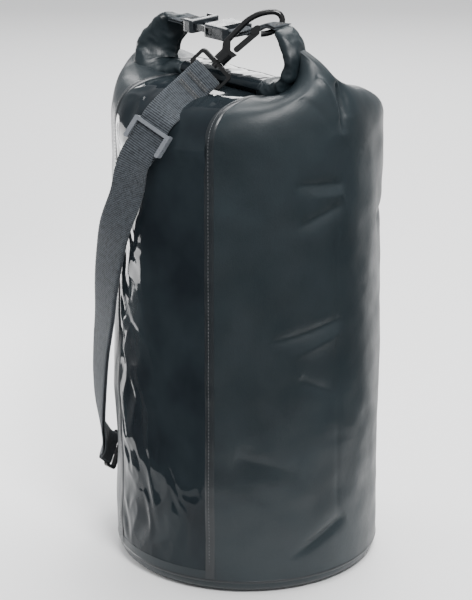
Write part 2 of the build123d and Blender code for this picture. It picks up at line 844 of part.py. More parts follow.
for direction, side, top in ((-1, "left", root_top_left), (1, "right", root_top_right)):
    with BuildPart() as tab_bartacks:
        for drop in (0.55, 0.85):
            point = (direction * (root_face - tab_thickness - skin_gap), roll_y, top - drop * tab_root)
            seat = Plane(origin=point, x_dir=(0, 1, 0), z_dir=(-direction, 0, 0))
            add(bartack(seat, tab_width - 2 * stitch_inset))
    finish(tab_bartacks.part, "tab_bartacks_" + side)
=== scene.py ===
import math

import bpy
import numpy as np
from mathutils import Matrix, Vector, noise


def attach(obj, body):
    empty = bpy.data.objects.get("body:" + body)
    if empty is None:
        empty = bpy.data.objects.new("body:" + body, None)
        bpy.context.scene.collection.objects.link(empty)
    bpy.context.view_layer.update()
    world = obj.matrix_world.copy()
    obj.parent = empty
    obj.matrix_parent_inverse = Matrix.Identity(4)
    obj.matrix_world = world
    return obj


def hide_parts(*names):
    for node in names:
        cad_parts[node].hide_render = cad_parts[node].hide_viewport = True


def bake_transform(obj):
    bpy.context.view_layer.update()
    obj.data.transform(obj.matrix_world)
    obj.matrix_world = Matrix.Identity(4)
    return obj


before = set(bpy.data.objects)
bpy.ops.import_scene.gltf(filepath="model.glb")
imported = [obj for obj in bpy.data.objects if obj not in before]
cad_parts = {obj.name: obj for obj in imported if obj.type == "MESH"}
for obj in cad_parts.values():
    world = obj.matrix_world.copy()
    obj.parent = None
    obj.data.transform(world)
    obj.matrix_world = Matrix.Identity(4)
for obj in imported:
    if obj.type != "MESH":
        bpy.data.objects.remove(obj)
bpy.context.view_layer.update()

# ================= sizes that follow the CAD model, in metres =================
bag_radius = 0.126
base_round = 0.014
half_round = math.pi * bag_radius          # half of the girth
side_height = 0.430                        # where the gathered top begins, just over the straight wall
gather_length = 0.122                      # cloth between there and the roll
window_left = -0.053
window_right = 0.063
window_sill = 0.018
tape_width = 0.008
roll_y = -0.020
roll_z = 0.470
buckle_z = 0.513
strap_width = 0.030
strap_thickness = 0.0015
tab_width = 0.025
rib_pitch = 0.0021                         # of the strap's cross ribs
mesh_step = 0.0013                         # along a band of webbing or a roll

# ================= mesh helpers =================


def make_piece(name, points, faces, body, material, uv=None):
    """A smooth mesh object. It rides on a body, or on none."""
    mesh = bpy.data.meshes.new(name)
    mesh.from_pydata([tuple(point) for point in points], [], faces)
    mesh.update()
    if uv is not None:
        layer = mesh.uv_layers.new(name="UVMap")
        loop_points = np.empty(len(mesh.loops), dtype=np.int32)
        mesh.loops.foreach_get("vertex_index", loop_points)
        layer.data.foreach_set("uv", np.asarray(uv, dtype=np.float32)[loop_points].ravel())
    mesh.polygons.foreach_set("use_smooth", [True] * len(mesh.polygons))
    piece = bpy.data.objects.new(name, mesh)
    bpy.context.scene.collection.objects.link(piece)
    mesh.materials.append(material)
    if body is not None:
        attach(piece, body)
    return piece


def grid_faces(rows, columns, closed=False):
    """Quads of a grid of points, optionally joined round its columns."""
    faces = []
    span = columns if closed else columns - 1
    for row in range(rows - 1):
        for column in range(span):
            a = row * columns + column
            b = row * columns + (column + 1) % columns
            faces.append((a, b, b + columns, a + columns))
    return faces


def curve_points(points, count):
    """Evenly spaced points on a smooth curve through rows that start with x, y, z."""
    points = np.array(points, dtype=float)
    gaps = np.maximum(np.linalg.norm(np.diff(points[:, :3], axis=0), axis=1), 1e-6)
    slopes = np.diff(points, axis=0) / gaps[:, None]
    tangents = np.empty_like(points)
    tangents[0] = slopes[0]
    tangents[-1] = slopes[-1]
    share = (gaps[1:] / (gaps[:-1] + gaps[1:]))[:, None]
    tangents[1:-1] = slopes[:-1] * share + slopes[1:] * (1 - share)
    fine = []
    for index, gap in enumerate(gaps):
        for t in np.linspace(0, 1, 16, endpoint=False):
            fine.append((2 * t ** 3 - 3 * t ** 2 + 1) * points[index]
                        + (t ** 3 - 2 * t ** 2 + t) * gap * tangents[index]
                        + (3 * t ** 2 - 2 * t ** 3) * points[index + 1]
                        + (t ** 3 - t ** 2) * gap * tangents[index + 1])
    fine.append(points[-1])
    fine = np.array(fine)
    lengths = np.concatenate([[0], np.cumsum(np.linalg.norm(np.diff(fine[:, :3], axis=0), axis=1))])
    wanted = np.linspace(0, lengths[-1], count)
    return np.stack([np.interp(wanted, lengths, fine[:, k]) for k in range(fine.shape[1])], axis=1)


def unit(vectors):
    """Vectors scaled to length one."""
    vectors = np.asarray(vectors, dtype=float)
    return vectors / np.maximum(np.linalg.norm(vectors, axis=-1, keepdims=True), 1e-12)


def wrinkle(point, scale, seed):
    """Crumple ridges: one where the noise crosses zero, falling off on both sides."""
    return 1 - 2 * abs(noise.noise(Vector(point) * scale + Vector((seed, 0, 0))))


# ================= materials =================
class Paint:
    """A principled material built up from procedural nodes."""

    def __init__(self, name, color, roughness, **sockets):
        self.material = bpy.data.materials.new(name)
        self.material.use_nodes = True
        self.tree = self.material.node_tree
        self.shader = self.tree.nodes["Principled BSDF"]
        self.shader.inputs["Base Color"].default_value = (*color, 1)
        self.shader.inputs["Roughness"].default_value = roughness
        for socket, value in sockets.items():
            self.shader.inputs[socket.replace("_", " ")].default_value = value
        self.texture = self.tree.nodes.new("ShaderNodeTexCoord")

    def add(self, kind, inputs=None, **settings):
        node = self.tree.nodes.new("ShaderNode" + kind)
        for key, value in settings.items():
            setattr(node, key, value)
        for key, value in (inputs or {}).items():
            if hasattr(value, "is_linked"):
                self.tree.links.new(value, node.inputs[key])
            else:
                node.inputs[key].default_value = value
        return node

    def math(self, operation, first, second=0.0):
        return self.add("Math", {0: first, 1: second}, operation=operation).outputs[0]

    def noise(self, scale, detail=2.0, source="Object", stretch=(1, 1, 1), rough=0.5):
        mapped = self.add("Mapping", {"Vector": self.texture.outputs[source], "Scale": stretch})
        return self.add("TexNoise", {"Vector": mapped.outputs[0], "Scale": scale, "Detail": detail,
                                     "Roughness": rough}).outputs["Fac"]

    def remap(self, value, low, high, out_low, out_high):
        return self.add("MapRange", {0: value, 1: low, 2: high, 3: out_low, 4: out_high}).outputs[0]

    def waves(self, angle, pitch):
        """Ribs over the UV map, in metres, turned by an angle."""
        turned = self.add("Mapping", {"Vector": self.texture.outputs["UV"],
                                      "Rotation": (0, 0, math.radians(angle))})
        parts = self.add("SeparateXYZ", {0: turned.outputs[0]})
        phase = self.math("MULTIPLY", parts.outputs[0], 2 * math.pi / pitch)
        return self.math("SINE", phase)

    def colors(self, value, low, high):
        ramp = self.add("ValToRGB", {"Fac": value})
        ramp.color_ramp.elements[0].color = (*low, 1)
        ramp.color_ramp.elements[1].color = (*high, 1)
        self.tree.links.new(ramp.outputs[0], self.shader.inputs["Base Color"])

    def rough(self, value):
        self.tree.links.new(value, self.shader.inputs["Roughness"])

    def relief(self, *layers):
        """Bumps on top of each other: height, strength and depth of each."""
        normal = None
        for height, strength, depth in layers:
            bump = self.add("Bump", {"Height": height, "Strength": strength, "Distance": depth})
            if normal is not None:
                self.tree.links.new(normal, bump.inputs["Normal"])
            normal = bump.outputs[0]
        self.tree.links.new(normal, self.shader.inputs["Normal"])


def tarpaulin_paint(name):
    paint = Paint(name, (0.015, 0.02, 0.025), 0.42, IOR=1.45, Specular_IOR_Level=0.42)
    mottle = paint.noise(14, 4)
    grain = paint.noise(900, 2)
    patch = paint.remap(paint.math("ADD", mottle, paint.math("MULTIPLY", grain, 0.35)), 0.45, 0.9, 0, 1)
    paint.colors(patch, (0.0080, 0.0130, 0.0160), (0.0150, 0.0225, 0.0265))
    paint.rough(paint.remap(paint.noise(30, 3), 0.3, 0.7, 0.33, 0.45))
    weave = paint.math("ADD", paint.waves(0, 0.0011), paint.waves(90, 0.0011))
    paint.relief((paint.noise(70, 3), 0.25, 0.0012), (weave, 0.12, 0.00010), (grain, 0.45, 0.0002))
    return paint.material


def film_paint():
    # The film is clear and the bag's inside behind it lies in shade: the film's near-black colour, mottled at
    # random, is that shade painted onto it (painted shade).
    paint = Paint("window_film", (0.002, 0.002, 0.002), 0.06, IOR=1.24, Specular_IOR_Level=0.5)
    inside_shade_mottle = paint.noise(22, 3, stretch=(1, 1, 0.7))
    paint.colors(paint.remap(inside_shade_mottle, 0.35, 0.7, 0, 1), (0.0080, 0.0108, 0.0135), (0.0150, 0.0205, 0.0240))
    paint.rough(paint.remap(paint.noise(45, 4), 0.35, 0.7, 0.04, 0.12))
    ripple = paint.noise(40, 2, stretch=(1, 1, 0.6), rough=0.45)
    paint.relief((ripple, 0.35, 0.0030), (paint.noise(260, 2), 0.06, 0.0004))
    return paint.material


def tape_paint():
    paint = Paint("seam_tape", (0.04, 0.045, 0.05), 0.35, Specular_IOR_Level=0.5)
    paint.colors(paint.noise(120, 3), (0.006, 0.008, 0.010), (0.014, 0.018, 0.021))
    paint.rough(paint.remap(paint.noise(60, 3), 0.3, 0.7, 0.28, 0.42))
    ribs = paint.waves(90, 0.0018)
    paint.relief((paint.noise(160, 2), 0.3, 0.0006), (ribs, 0.12, 0.0001))
    return paint.material


def webbing_paint(name, twill):
    paint = Paint(name, (0.06, 0.065, 0.07), 0.75, Specular_IOR_Level=0.25, Sheen_Weight=0.06,
                  Sheen_Roughness=0.4)
    if twill:
        left = paint.waves(45, 0.0019)
        right = paint.waves(-45, 0.0019)
        lane = paint.math("GREATER_THAN", paint.waves(0, 0.0150), 0.0)
        mixed = paint.math("ADD", paint.math("MULTIPLY", left, lane),
                           paint.math("MULTIPLY", right, paint.math("SUBTRACT", 1.0, lane)))
        weave = paint.math("ADD", mixed, paint.math("MULTIPLY", paint.waves(90, 0.0010), 0.35))
    else:
        ribs = paint.waves(90, rib_pitch)
        weave = paint.math("ADD", ribs, paint.math("MULTIPLY", paint.waves(0, 0.0013), 0.55))
    fuzz = paint.noise(1400, 3)
    fleck = paint.noise(420, 4, source="UV", stretch=(1, 0.4, 1))
    # Colour: darker in the weave's grooves and lighter on its ribs, from the same weave as the bumps, is
    # painted shade; the flecks are random tone of the yarn.
    rib_shade_and_fleck = paint.math("ADD", paint.remap(weave, -1.3, 1.3, 0, 0.55), paint.math("MULTIPLY", fleck, 0.75))
    paint.colors(paint.remap(rib_shade_and_fleck, 0.25, 0.95, 0, 1), (0.0035, 0.0044, 0.0056), (0.066, 0.077, 0.089))
    paint.rough(paint.remap(fuzz, 0.3, 0.7, 0.65, 0.88))
    paint.relief((weave, 0.75, 0.0004), (fuzz, 0.4, 0.0002))
    return paint.material


def plastic_paint(name, low, high, gloss, grain_depth=0.00008):
    paint = Paint(name, low, gloss, Specular_IOR_Level=0.5)
    paint.colors(paint.noise(90, 3), low, high)
    paint.rough(paint.remap(paint.noise(140, 4), 0.3, 0.7, gloss * 0.8, gloss * 1.35))
    paint.relief((paint.noise(60, 2), 0.12, 0.0003), (paint.noise(2200, 2), 0.35, grain_depth))
    return paint.material


def metal_paint():
    paint = Paint("black_metal", (0.03, 0.03, 0.032), 0.35, Specular_IOR_Level=0.6, Metallic=0.35)
    paint.colors(paint.noise(260, 4), (0.004, 0.004, 0.005), (0.012, 0.012, 0.014))
    paint.rough(paint.remap(paint.noise(400, 3), 0.3, 0.7, 0.25, 0.45))
    paint.relief((paint.noise(500, 3), 0.2, 0.0001))
    return paint.material


def thread_paint(name, low, high):
    paint = Paint(name, low, 0.7, Sheen_Weight=0.3)
    paint.colors(paint.noise(900, 3), low, high)
    paint.rough(paint.remap(paint.noise(700, 2), 0.3, 0.7, 0.6, 0.8))
    paint.relief((paint.noise(2500, 2), 0.5, 0.0001))
    return paint.material


tarpaulin = tarpaulin_paint("tarpaulin")
film = film_paint()
tape = tape_paint()
ribbed = webbing_paint("webbing_ribbed", False)
twilled = webbing_paint("webbing_twill", True)
black_plastic = plastic_paint("black_plastic", (0.0028, 0.0031, 0.0034), (0.0045, 0.005, 0.0055), 0.18)
dark_grey_plastic = plastic_paint("buckle_plastic", (0.015, 0.018, 0.021), (0.019, 0.023, 0.027), 0.24)
grey_plastic = plastic_paint("grey_plastic", (0.10, 0.11, 0.125), (0.15, 0.16, 0.175), 0.28)
black_metal = metal_paint()
dark_thread = thread_paint("dark_thread", (0.005, 0.006, 0.007), (0.014, 0.016, 0.018))
pale_thread = thread_paint("pale_thread", (0.05, 0.055, 0.06), (0.12, 0.125, 0.13))

# ================= the bag's shell =================
grid_columns = 160
grid_step = 2 * half_round / grid_columns
cloth_start = 0.350
top_height = side_height + gather_length
cloth_heights = np.arange(cloth_start, top_height + grid_step / 2, grid_step)
cloth_heights = cloth_heights * (top_height / cloth_heights[-1])


def fold_across(arc):
    """Distance across the flattened bag from its middle, and whether it is the front layer."""
    front = abs(arc) <= half_round / 2
    across = arc if front else math.copysign(half_round - abs(arc), arc)
    return across, front


mouth_level = 0.465                        # the mouth's height under the roll
mouth_flat = 0.050                         # half of its level part
mouth_bend = 0.082                         # where it turns up to each end
right_tip = (0.091, 0.512)                 # how far out and how high each end of the mouth is
left_tip = (0.098, 0.494)


def mouth_point(across, front):
    """Where the cloth meets the roll: level in the middle, then up the roll's ends."""
    reach = abs(across)
    side = math.copysign(1, across)
    level = mouth_level
    tip_x, tip_z = right_tip if side > 0 else left_tip
    if reach < mouth_flat:
        x, z, rise = reach, level, 0.0
    else:
        rise = min((reach - mouth_flat) / (half_round / 2 - mouth_flat), 1.0)
        a, b, c = (1 - rise) ** 3, 3 * (1 - rise) ** 2 * rise, 3 * (1 - rise) * rise ** 2
        x = a * mouth_flat + b * mouth_bend + c * (tip_x + 0.006) + rise ** 3 * tip_x
        z = a * level + b * level + c * (level + 0.022) + rise ** 3 * tip_z
    gap = 0.010 - 0.007 * rise
    return np.array([side * x, roll_y + (-gap if front else gap) - 0.007 * rise * (side < 0), z])


back_azimuth = 2.2                         # radians, where the shoulder is flattest


def planned_point(arc, height):
    """The stuffed bag's surface: a straight wall, a shoulder, and a fin up to each end of the roll.

    The shoulder is flatter at the back, which keeps the gap under the carrying loop clear."""
    angle = arc / bag_radius - math.pi / 2
    rim = np.array([bag_radius * math.cos(angle), bag_radius * math.sin(angle), side_height])
    if height <= side_height:
        return np.array([rim[0], rim[1], height])
    across, front = fold_across(arc)
    target = mouth_point(across, front)
    side = min(max((abs(across) - 0.05) / 0.14, 0), 1)
    side = side * side * (3 - 2 * side)
    inward = rim[:2] - target[:2]
    inward = inward / np.linalg.norm(inward)
    lean = 0.046 * (1 - side) + 0.026 * side
    behind = max(math.cos(angle - back_azimuth), 0.0) * (1 - side)
    drop = 0.006 * (1 - side) - 0.016 * side - 0.016 * behind
    first = rim + np.array([0, 0, 0.040 + 0.006 * side - 0.046 * behind])
    second = target + np.array([inward[0] * lean, inward[1] * lean, drop])
    t = (height - side_height) / gather_length
    return ((1 - t) ** 3 * rim + 3 * (1 - t) ** 2 * t * first + 3 * (1 - t) * t * t * second
            + t ** 3 * target)


cloth_frames = 24
loose_pin = 0.06                           # how hard the plan holds the free cloth
cloth_reach = 0.012                        # the farthest that a point may settle


def settled(planned, rest):
    """The cloth of the top, settled from its planned shape towards its real length."""
    rows, columns = planned.shape[:2]
    mesh = bpy.data.meshes.new("settling")
    mesh.from_pydata([tuple(p) for p in planned.reshape(-1, 3)], [], grid_faces(rows, columns, True))
    cloth = bpy.data.objects.new("settling", mesh)
    bpy.context.scene.collection.objects.link(cloth)
    cloth.shape_key_add(name="planned")
    key = cloth.shape_key_add(name="flat")
    key.data.foreach_set("co", rest.astype(np.float32).ravel())
    key.value = 0
    held = cloth.vertex_groups.new(name="held")
    held.add(list(range(rows * columns)), loose_pin, "REPLACE")
    held.add(list(range(2 * columns)), 1.0, "REPLACE")
    held.add(list(range((rows - 1) * columns, rows * columns)), 1.0, "REPLACE")
    modifier = cloth.modifiers.new("cloth", "CLOTH")
    settings = modifier.settings
    settings.rest_shape_key = key
    settings.vertex_group_mass = "held"
    settings.pin_stiffness = 1.0
    settings.quality = 6
    settings.mass = 0.3
    settings.tension_stiffness = 60
    settings.compression_stiffness = 60
    settings.shear_stiffness = 25
    settings.bending_stiffness = 2
    settings.bending_model = "ANGULAR"
    settings.tension_damping = 15
    settings.compression_damping = 15
    settings.shear_damping = 15
    settings.air_damping = 3
    settings.use_pressure = True
    settings.uniform_pressure_force = 4
    settings.effector_weights.gravity = 0
    modifier.collision_settings.use_collision = False
    modifier.collision_settings.use_self_collision = False
    scene = bpy.context.scene
    for number in range(1, cloth_frames + 1):
        scene.frame_set(number)
    shape = cloth.evaluated_get(bpy.context.evaluated_depsgraph_get()).to_mesh()
    found = np.empty(rows * columns * 3, dtype=np.float32)
    shape.vertices.foreach_get("co", found)
    cloth.evaluated_get(bpy.context.evaluated_depsgraph_get()).to_mesh_clear()
    bpy.data.objects.remove(cloth)
    scene.frame_set(1)
    found = found.reshape(rows, columns, 3).astype(float)
    moved = found - planned
    distance = np.linalg.norm(moved, axis=-1, keepdims=True)
    return planned + moved * np.minimum(1, cloth_reach / np.maximum(distance, 1e-9))


arcs = (np.arange(grid_columns) + 0.5) * grid_step - half_round
planned = np.array([[planned_point(arc, height) for arc in arcs] for height in cloth_heights])
angles = arcs / bag_radius - math.pi / 2
rest = np.array([[(bag_radius * math.cos(a), bag_radius * math.sin(a), height) for a in angles]
                 for height in cloth_heights])
top_cloth = settled(planned, rest)

wall_heights = np.linspace(base_round, cloth_start, 62)[:-1]
wall = np.array([[(bag_radius * math.cos(a), bag_radius * math.sin(a), height) for a in angles]
                 for height in wall_heights])
shell_grid = np.concatenate([wall, top_cloth])
shell_heights = np.concatenate([wall_heights, cloth_heights])


def cubic_weights(t):
    """The four weights of a Catmull-Rom curve."""
    return np.stack([0.5 * (-t ** 3 + 2 * t ** 2 - t), 0.5 * (3 * t ** 3 - 5 * t ** 2 + 2),
                     0.5 * (-3 * t ** 3 + 4 * t ** 2 + t), 0.5 * (t ** 3 - t ** 2)])


def shell_points(arc_values, height_values):
    """Points of the shell at every pair of arc and height, smoothly between the grid's points."""
    column = (np.asarray(arc_values) + half_round) / grid_step - 0.5
    row = np.interp(height_values, shell_heights, np.arange(len(shell_heights)))
    column_base = np.floor(column).astype(int)
    row_base = np.clip(np.floor(row).astype(int), 0, len(shell_heights) - 2)
    column_weights = cubic_weights(column - column_base)
    row_weights = cubic_weights(row - row_base)
    result = np.zeros((len(row), len(column), 3))
    for i in range(4):
        rows = np.clip(row_base + i - 1, 0, len(shell_heights) - 1)
        for j in range(4):
            columns = (column_base + j - 1) % grid_columns
            weight = row_weights[i][:, None] * column_weights[j][None, :]
            result += weight[..., None] * shell_grid[rows[:, None], columns[None, :]]
    return result


# Creases in the coated cloth: arc and height of both ends, width, and depth (outward if positive).
creases = [
    (0.196, 0.391, 0.146, 0.397, 0.0070, -0.0046),
    (0.196, 0.381, 0.160, 0.385, 0.0070, 0.0020),
    (0.196, 0.372, 0.148, 0.358, 0.0080, -0.0048),
    (0.198, 0.262, 0.122, 0.250, 0.0085, -0.0044),
    (0.196, 0.250, 0.140, 0.234, 0.0095, 0.0022),
    (0.188, 0.420, 0.196, 0.030, 0.0050, -0.0009),
    (0.204, 0.064, 0.142, 0.034, 0.0080, -0.0046),
    (0.204, 0.496, 0.196, 0.438, 0.0055, -0.0085),
    (0.180, 0.520, 0.193, 0.452, 0.0055, 0.0026),
    (0.214, 0.500, 0.204, 0.452, 0.0070, -0.0040),
    (0.150, 0.500, 0.185, 0.440, 0.0120, -0.0020),
    (-0.120, 0.520, -0.150, 0.470, 0.0060, -0.0060),
    (-0.150, 0.530, -0.175, 0.470, 0.0060, -0.0050),
    (0.150, 0.212, 0.192, 0.190, 0.0100, -0.0026),
    (0.090, 0.140, 0.150, 0.120, 0.0160, -0.0022),
    (-0.080, 0.380, -0.120, 0.360, 0.0090, -0.0036),
    (-0.075, 0.250, -0.110, 0.262, 0.0090, -0.0032),
    (-0.090, 0.110, -0.150, 0.130, 0.0100, -0.0036),
    (-0.190, 0.390, -0.240, 0.400, 0.0090, -0.0040),
    (-0.190, 0.300, -0.250, 0.280, 0.0090, -0.0038),
    (0.260, 0.340, 0.330, 0.350, 0.0110, -0.0042),
    (0.300, 0.200, 0.360, 0.180, 0.0120, -0.0038),
    (-0.280, 0.180, -0.350, 0.200, 0.0120, -0.0042),
]


def crease_field(arc, height):
    """How far creases and slack push the cloth out, over arrays of arc and height."""
    total = np.zeros_like(arc)
    for arc_a, height_a, arc_b, height_b, width, depth in creases:
        run = np.array([arc_b - arc_a, height_b - height_a])
        length = np.linalg.norm(run)
        run = run / length
        along = ((arc - arc_a) * run[0] + (height - height_a) * run[1]) / length
        off = -(arc - arc_a) * run[1] + (height - height_a) * run[0]
        ends = np.clip(along, 0, 1) * (1 - np.clip(along, 0, 1)) * 4
        taper = np.sqrt(ends) * (1.15 - 0.45 * np.clip(along, 0, 1))
        profile = np.exp(-np.abs(off) / width) * (0.4 + 0.6 * np.exp(-(off / width) ** 2))
        total += depth * taper * profile
    return total


def noise_field(points, scale, seed):
    """Smooth noise at each point of a grid."""
    offset = Vector((seed, seed * 0.7, 0))
    flat = points.reshape(-1, 3)
    values = [noise.noise(Vector(p) * scale + offset) for p in flat]
    return np.array(values).reshape(points.shape[:2])


slack = 0.0020                             # how far loose cloth wanders in and out
fine_slack = 0.0008
film_bulge = 0.0035
probe = 0.001                              # step that finds the surface's direction


def shell_panel(name, arc_from, arc_to, height_from, height_to, material, lift=0.0,
                step=0.0022, ripple=0.0, closed=False, edge=0.0):
    """A part of the shell as its own skin, with its creases, slack and ripples."""
    count = max(int(round((arc_to - arc_from) / step)), 3)
    arc_values = np.linspace(arc_from, arc_to, count + 1)
    if closed:
        arc_values = arc_values[:-1]
    rows = max(int(round((height_to - height_from) / step)), 3)
    height_values = np.linspace(height_from, height_to, rows + 1)
    points = shell_points(arc_values, height_values)
    ahead = shell_points(arc_values + probe, height_values)
    above = shell_points(arc_values, np.minimum(height_values + probe, top_height))
    below = shell_points(arc_values, np.maximum(height_values - probe, base_round))
    normal = unit(np.cross(ahead - points, above - below))
    arc_grid, height_grid = np.meshgrid(arc_values, height_values)
    calm = (np.clip((height_grid - base_round) / 0.03, 0, 1)
            * np.clip((top_height - height_grid) / 0.02, 0, 1))
    push = crease_field(arc_grid, height_grid)
    push += slack * noise_field(points, 14, 3.0) + fine_slack * noise_field(points, 42, 9.0)
    flat = np.stack([arc_grid, height_grid * 0.55, np.zeros_like(arc_grid)], axis=-1)
    if ripple:
        middle = (np.clip((arc_grid - window_left) / 0.01, 0, 1)
                  * np.clip((window_right - arc_grid) / 0.01, 0, 1))
        left = np.clip(1.30 - (arc_grid - window_left) / 0.060, 0.12, 1)
        low = np.clip((0.15 - height_grid) / 0.07, 0, 1)
        strength = ripple * middle * np.maximum(left, low)
        warped = flat + 0.012 * noise_field(flat, 40, 21.0)[..., None]
        ridges = 1 - 2 * np.abs(noise_field(warped, 48, 5.0))
        push += strength * (ridges - 0.4) + 0.30 * strength * noise_field(warped, 95, 7.0)
        # The film bulges where it turns over the shoulder, beside the right seam.
        bulge = np.exp(-((height_grid - 0.428) / 0.010) ** 2) * np.exp(-((arc_grid - 0.036) / 0.030) ** 2)
        push += film_bulge * bulge
    if edge:
        to_edge = np.minimum(arc_grid - arc_from, arc_to - arc_grid)
        push -= edge * np.exp(-(to_edge / 0.0012) ** 2)
    points = points + normal * (push * calm + lift)[..., None]
    uv = np.stack([arc_grid, height_grid], axis=-1).reshape(-1, 2)
    return make_piece(name, points.reshape(-1, 3), grid_faces(len(height_values), len(arc_values), closed),
                      "bag", material, uv)


body_front = shell_panel("body_panel_skin", window_right, 2 * half_round + window_left, base_round,
                         top_height, tarpaulin)
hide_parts("body_panel", "end_fold_left", "end_fold_right")
window_skin = shell_panel("window_panel_skin", window_left, window_right, window_sill, top_height,
                          film, step=0.0016, ripple=0.0014)
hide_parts("window_panel")
shell_panel("window_sill_skin", window_left, window_right, base_round, window_sill + 0.004,
            tarpaulin, lift=0.0003)
tape_right = shell_panel("seam_tape_right_skin", window_right - 0.0010, window_right + tape_width, base_round,
                         top_height, tape, lift=0.0008, step=0.0006, edge=0.0008)
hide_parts("seam_tape_right")
tape_left = shell_panel("seam_tape_left_skin", window_left - tape_width, window_left + 0.0010, base_round,
                        top_height, tape, lift=0.0008, step=0.0006, edge=0.0008)
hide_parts("seam_tape_left")


def stitches(name, places, along, normals, length, radius, material):
    """Threads lying on a surface: little pillows, each along its own direction."""
    points = []
    faces = []
    sides = 6
    profile = [(-0.5, 0.35), (-0.35, 0.9), (0.0, 1.0), (0.35, 0.9), (0.5, 0.35)]
    for place, direction, normal in zip(places, unit(along), unit(normals)):
        across = np.cross(normal, direction)
        start = len(points)
        for position, thick in profile:
            for side in range(sides):
                turn = 2 * math.pi * side / sides
                points.append(place + direction * position * length
                              + (across * math.cos(turn) + normal * math.sin(turn)) * radius * thick)
        for ring in range(len(profile) - 1):
            for side in range(sides):
                a = start + ring * sides + side
                b = start + ring * sides + (side + 1) % sides
                faces.append((a, b, b + sides, a + sides))
        faces.append(tuple(start + side for side in reversed(range(sides))))
        faces.append(tuple(start + (len(profile) - 1) * sides + side for side in range(sides)))
    return make_piece(name, points, faces, "bag", material)


def seam_stitches(name, arc, height_from, height_to, pitch, lift, material):
    """A row of stitches up the shell, on the same creases and slack as its skin."""
    heights = np.arange(height_from, height_to, pitch)
    points = shell_points([arc], heights)[:, 0]
    ahead = shell_points([arc + probe], heights)[:, 0]
    above = shell_points([arc], heights + probe)[:, 0]
    normal = unit(np.cross(ahead - points, above - points))
    arcs_there = np.full(len(heights), arc)
    push = crease_field(arcs_there, heights) + lift
    push += slack * noise_field(points[:, None], 14, 3.0)[:, 0]
    push += fine_slack * noise_field(points[:, None], 42, 9.0)[:, 0]
    places = points + normal * push[:, None]
    return stitches(name, places, above - points, normal, seam_stitch, seam_thread, material)


seam_inset = 0.0028                        # from the window's edge to the row of stitches
seam_from, seam_to = 0.022, 0.520
seam_pitch = 0.0034
seam_lift = 0.0009
seam_stitch = 0.0020
seam_thread = 0.00024
seam_stitches("seam_stitches_right", window_right + seam_inset, seam_from, seam_to, seam_pitch, seam_lift,
              pale_thread)
seam_stitches("seam_stitches_left", window_left - seam_inset, seam_from, seam_to, seam_pitch, seam_lift,
              pale_thread)

# ================= base =================
base_profile = [(0.0, 0.0022), (0.040, 0.0020), (0.080, 0.0014), (0.104, 0.0006), (0.114, 0.0006),
                (0.1195, 0.0016), (0.1232, 0.0046), (0.1252, 0.0088), (0.1260, 0.0140)]
base_rings = curve_points([(r, 0.0, z) for r, z in base_profile], 40)
base_points = []
base_uv = []
turns = 180
for radius, _, z in base_rings:
    for step in range(turns):
        angle = 2 * math.pi * step / turns
        base_points.append((radius * math.cos(angle), radius * math.sin(angle), z))
        base_uv.append((radius * math.cos(angle), radius * math.sin(angle)))
base_skin = make_piece("base_panel_skin", base_points, grid_faces(len(base_rings), turns, True), "bag",
                       tarpaulin, base_uv)
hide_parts("base_panel")


welt_steps = 240


def ring_cord(name, radius, z, thick, material):
    """A welt round the bag: a rounded cord, a little uneven."""
    points = []
    sides = 10
    for step in range(welt_steps):
        angle = 2 * math.pi * step / welt_steps
        swell = 1 + 0.12 * noise.noise(Vector((math.cos(angle) * 9, math.sin(angle) * 9, z)))
        for side in range(sides):
            turn = 2 * math.pi * side / sides
            r = radius + thick * swell * math.cos(turn)
            points.append((r * math.cos(angle), r * math.sin(angle), z + 1.6 * thick * math.sin(turn)))
    last = (welt_steps - 1) * sides
    faces = grid_faces(welt_steps, sides, True)
    faces += [(last + s, last + (s + 1) % sides, (s + 1) % sides, s) for s in range(sides)]
    return make_piece(name, points, faces, "bag", material)


base_welt = ring_cord("base_binding_skin", 0.1252, 0.0125, 0.0011, tape)
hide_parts("base_binding")

# ================= roll and its ends =================


def rolled(name, stations, material, crumple, seed, lip_side=1):
    """Cloth rolled flat and swept along a line: a spiral section with its lip, and crumples.

    Each station is a point, the direction of the roll's width, its width and its thickness."""
    length = np.sum(np.linalg.norm(np.diff(np.array(stations)[:, :3], axis=0), axis=1))
    count = max(int(length / mesh_step), 8)
    line = curve_points(stations, count)
    sides = 56
    centre = line[:, :3]
    along = unit(np.gradient(centre, axis=0))
    wide = line[:, 3:6] - along * np.sum(line[:, 3:6] * along, axis=1, keepdims=True)
    wide = unit(wide)
    thick = np.cross(along, wide)
    points = []
    uv = []
    travelled = np.linspace(0, length, count)
    for row in range(count):
        end = min(row, count - 1 - row) / 5
        close = math.sqrt(min(end, 1.0)) if end < 1 else 1.0
        for side in range(sides):
            turn = 2 * math.pi * side / sides
            spiral = 1 - 0.15 * (side / sides)
            c, s = math.cos(turn), math.sin(turn)
            x = math.copysign(abs(c) ** 0.62, c) * line[row, 6] / 2 * spiral
            z = math.copysign(abs(s) ** 0.80, s) * line[row, 7] / 2 * (1.06 - 0.12 * (side / sides))
            x *= 0.35 + 0.65 * close
            z *= 0.25 + 0.75 * close
            place = centre[row] + wide[row] * x * lip_side + thick[row] * z
            out = unit(wide[row] * c * lip_side + thick[row] * s)
            ridges = wrinkle(place, 58, seed) * 0.7 + wrinkle(place, 120, seed + 4) * 0.3
            place = place + out * crumple * (ridges - 0.45)
            points.append(place)
            uv.append((travelled[row], side / sides * 0.09))
    faces = grid_faces(count, sides, True)
    faces.append(tuple(reversed(range(sides))))
    faces.append(tuple((count - 1) * sides + side for side in range(sides)))
    return make_piece(name, points, faces, "bag", material, uv)


